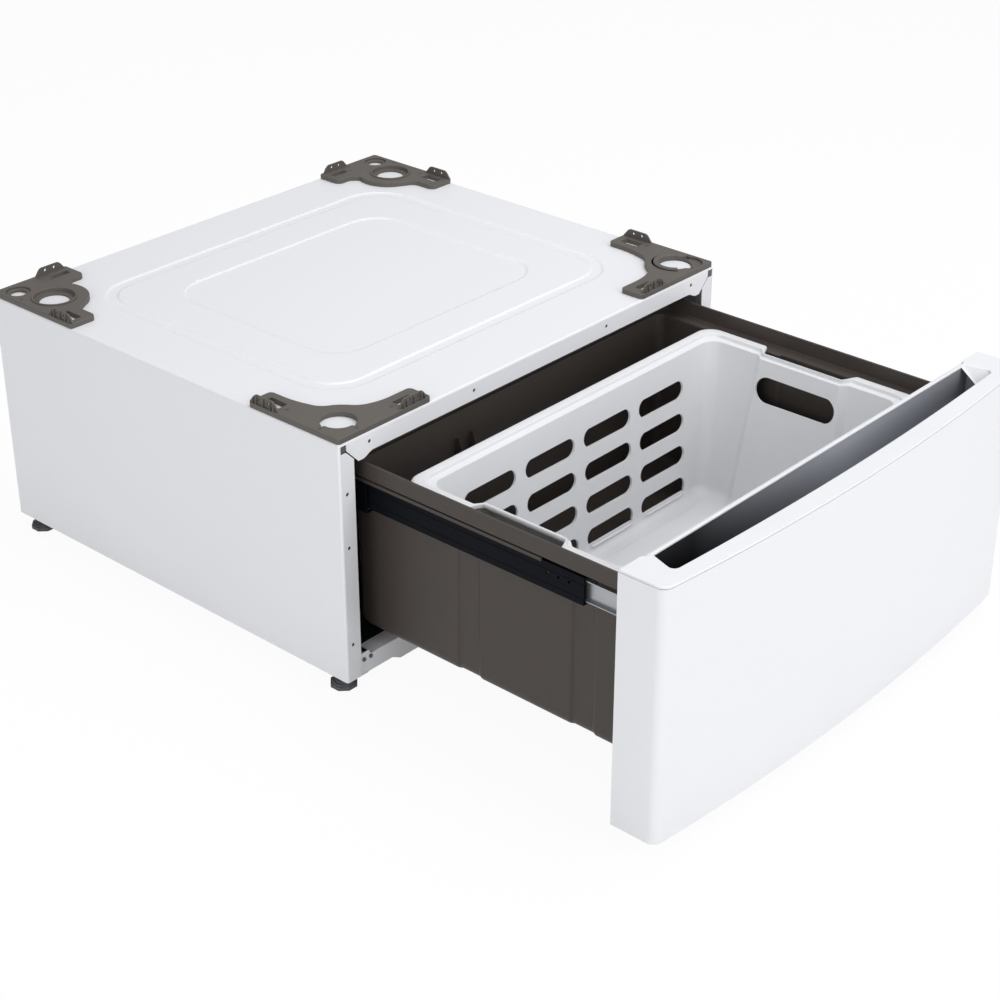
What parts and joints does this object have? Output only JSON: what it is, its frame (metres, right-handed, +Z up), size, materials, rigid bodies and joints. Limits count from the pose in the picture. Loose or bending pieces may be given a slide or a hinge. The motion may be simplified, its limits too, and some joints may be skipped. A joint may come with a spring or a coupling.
{
  "type": "washer pedestal with storage drawer",
  "caption": "White steel laundry pedestal with plastic corner brackets, a drawer on telescopic slides and a lift-out slotted basket.",
  "frame": {"origin": "centre of the cabinet's footprint, on the floor", "axes": "+X to the right seen from the front, +Y towards the rear (the drawer opens to -Y), +Z up"},
  "size_m": [0.686, 1.0936, 0.35],
  "materials": {
    "cabinet_paint": "satin",
    "front_paint": "satin",
    "cap_plastic": "satin",
    "pan_paint": "matte",
    "zinc_steel": "galvanised",
    "bracket_plastic": "matte",
    "screw_zinc": "zinc plated",
    "slide_black": "satin",
    "slide_steel": "zinc plated",
    "cage_brass": "matte",
    "tub_plastic": "satin",
    "pocket_gloss": "gloss",
    "bumper_rubber": "matte",
    "basket_plastic": "satin",
    "foot_rubber": "matte",
    "stud_steel": "zinc plated"
  },
  "bodies": {
    "cabinet": {"top_panel": "cabinet_paint", "side_panel_left": "cabinet_paint", "side_panel_right": "cabinet_paint", "rear_panel": "cabinet_paint", "front_rail": "cabinet_paint", "rear_rail": "cabinet_paint", "base_pan": "pan_paint", "slide_support_left": "zinc_steel", "slide_support_right": "zinc_steel", "bracket_front_left": "bracket_plastic", "bracket_front_right": "bracket_plastic", "bracket_rear_left": "bracket_plastic", "bracket_rear_right": "bracket_plastic", "bracket_screws": "screw_zinc", "cabinet_screws": "screw_zinc", "foot_mount_front_left": "zinc_steel", "foot_mount_front_right": "zinc_steel", "foot_mount_rear_left": "zinc_steel", "foot_mount_rear_right": "zinc_steel", "lock_nuts": "screw_zinc", "slide_outer_left": "slide_black", "slide_outer_right": "slide_black", "slide_outer_screws": "screw_zinc"},
    "drawer": {"slide_inner_left": "slide_steel", "slide_inner_right": "slide_steel", "slide_inner_screws": "screw_zinc", "drawer_tub": "tub_plastic", "back_plate": "front_paint", "front_panel": "front_paint", "top_cap": "cap_plastic", "bottom_cap": "cap_plastic", "handle_pocket": "pocket_gloss", "panel_screws": "screw_zinc", "bumpers": "bumper_rubber"},
    "basket_body": {"basket": "basket_plastic"},
    "middle_left": {"slide_middle_left": "slide_black"},
    "cage_outer_left": {"cage_outer_left": "cage_brass"},
    "cage_inner_left": {"cage_inner_left": "cage_brass"},
    "middle_right": {"slide_middle_right": "slide_black"},
    "cage_outer_right": {"cage_outer_right": "cage_brass"},
    "cage_inner_right": {"cage_inner_right": "cage_brass"},
    "foot_front_left": {"pad_front_left": "foot_rubber", "stud_front_left": "stud_steel"},
    "foot_front_right": {"pad_front_right": "foot_rubber", "stud_front_right": "stud_steel"},
    "foot_rear_left": {"pad_rear_left": "foot_rubber", "stud_rear_left": "stud_steel"},
    "foot_rear_right": {"pad_rear_right": "foot_rubber", "stud_rear_right": "stud_steel"}
  },
  "joints": [
    {"name": "drawer_slide", "type": "slide", "parent": "cabinet", "child": "drawer", "axis": [0, -1, 0], "range_m": [-0.392, 0]},
    {"name": "basket_lift", "type": "slide", "parent": "drawer", "child": "basket_body", "axis": [0, 0, 1], "range_m": [0, 0.3]},
    {"name": "middle_slide_left", "type": "slide", "parent": "cabinet", "child": "middle_left", "axis": [0, -1, 0], "range_m": [-0.36506, 0.0005]},
    {"name": "cage_outer_slide_left", "type": "slide", "parent": "cabinet", "child": "cage_outer_left", "axis": [0, -1, 0], "range_m": [-0.18278, 0.0005]},
    {"name": "cage_inner_slide_left", "type": "slide", "parent": "cabinet", "child": "cage_inner_left", "axis": [0, -1, 0], "range_m": [-0.37878, 0.0005]},
    {"name": "middle_slide_right", "type": "slide", "parent": "cabinet", "child": "middle_right", "axis": [0, -1, 0], "range_m": [-0.36506, 0.0005]},
    {"name": "cage_outer_slide_right", "type": "slide", "parent": "cabinet", "child": "cage_outer_right", "axis": [0, -1, 0], "range_m": [-0.18278, 0.0005]},
    {"name": "cage_inner_slide_right", "type": "slide", "parent": "cabinet", "child": "cage_inner_right", "axis": [0, -1, 0], "range_m": [-0.37878, 0.0005]},
    {"name": "levelling_front_left", "type": "slide", "parent": "cabinet", "child": "foot_front_left", "axis": [0, 0, -1], "range_m": [0, 0.012]},
    {"name": "levelling_front_right", "type": "slide", "parent": "cabinet", "child": "foot_front_right", "axis": [0, 0, -1], "range_m": [0, 0.012]},
    {"name": "levelling_rear_left", "type": "slide", "parent": "cabinet", "child": "foot_rear_left", "axis": [0, 0, -1], "range_m": [0, 0.012]},
    {"name": "levelling_rear_right", "type": "slide", "parent": "cabinet", "child": "foot_rear_right", "axis": [0, 0, -1], "range_m": [0, 0.012]}
  ],
  "couplings": [
    {"joint": "middle_slide_left", "follows": "drawer_slide", "ratio": 0.93},
    {"joint": "cage_outer_slide_left", "follows": "drawer_slide", "ratio": 0.465},
    {"joint": "cage_inner_slide_left", "follows": "drawer_slide", "ratio": 0.965},
    {"joint": "middle_slide_right", "follows": "drawer_slide", "ratio": 0.93},
    {"joint": "cage_outer_slide_right", "follows": "drawer_slide", "ratio": 0.465},
    {"joint": "cage_inner_slide_right", "follows": "drawer_slide", "ratio": 0.965}
  ]
}
